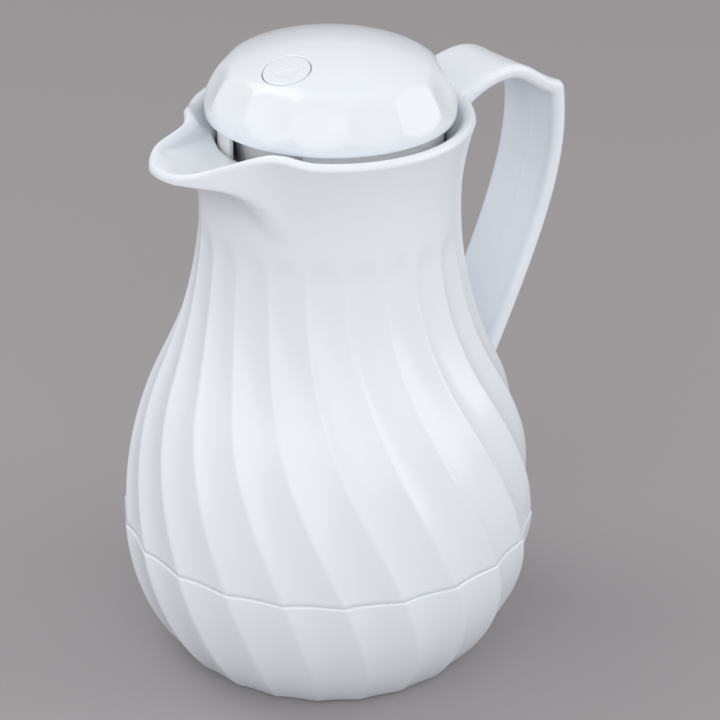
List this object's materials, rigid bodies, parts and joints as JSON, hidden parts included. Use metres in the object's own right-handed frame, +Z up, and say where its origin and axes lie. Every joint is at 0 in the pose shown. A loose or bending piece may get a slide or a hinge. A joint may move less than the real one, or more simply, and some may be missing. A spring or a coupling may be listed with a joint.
{
  "type": "insulated beverage server",
  "caption": "Pear-shaped insulated server with swirl flutes, an open pouring spout, a strap handle and a domed screw-in lid that lifts on a quick thread.",
  "frame": {"origin": "On the pot's axis, at the level of the foot ring that it stands on", "axes": "+Z up along the pot's axis, -X towards the spout's tip, +X towards the handle"},
  "size_m": [0.169, 0.1468, 0.2275],
  "materials": {
    "shell_white": "gloss",
    "lid_white": "gloss",
    "stopper_white": "satin",
    "liner_white": "satin",
    "plug_white": "satin",
    "silicone": "matte",
    "foam": "matte"
  },
  "bodies": {
    "pot": {"outer_shell": "shell_white", "base_cup": "shell_white", "fill_plug": "plug_white", "inner_liner": "liner_white", "mouth_seal": "silicone", "insulation_foam": "foam"},
    "gasket": {"stopper_gasket": "silicone"},
    "lid": {"lid_dome": "lid_white", "lid_stopper": "stopper_white", "lid_foam": "foam"},
    "marker": {"content_marker": "lid_white"}
  },
  "joints": [
    {"name": "lid_rise", "type": "slide", "parent": "pot", "child": "gasket", "axis": [0, 0, 1], "range_m": [0, 0.043]},
    {"name": "lid_turn", "type": "hinge", "parent": "gasket", "child": "lid", "pos_m": [0, 0, 0.18], "axis": [0, 0, 1], "range_deg": [0, 322]},
    {"name": "marker_pop", "type": "slide", "parent": "lid", "child": "marker", "axis": [-0.2767, -0.0721, 0.9583], "range_m": [0, 0.006]}
  ],
  "couplings": [
    {"joint": "lid_rise", "follows": "lid_turn", "m_per_rad": 0.0076394}
  ]
}
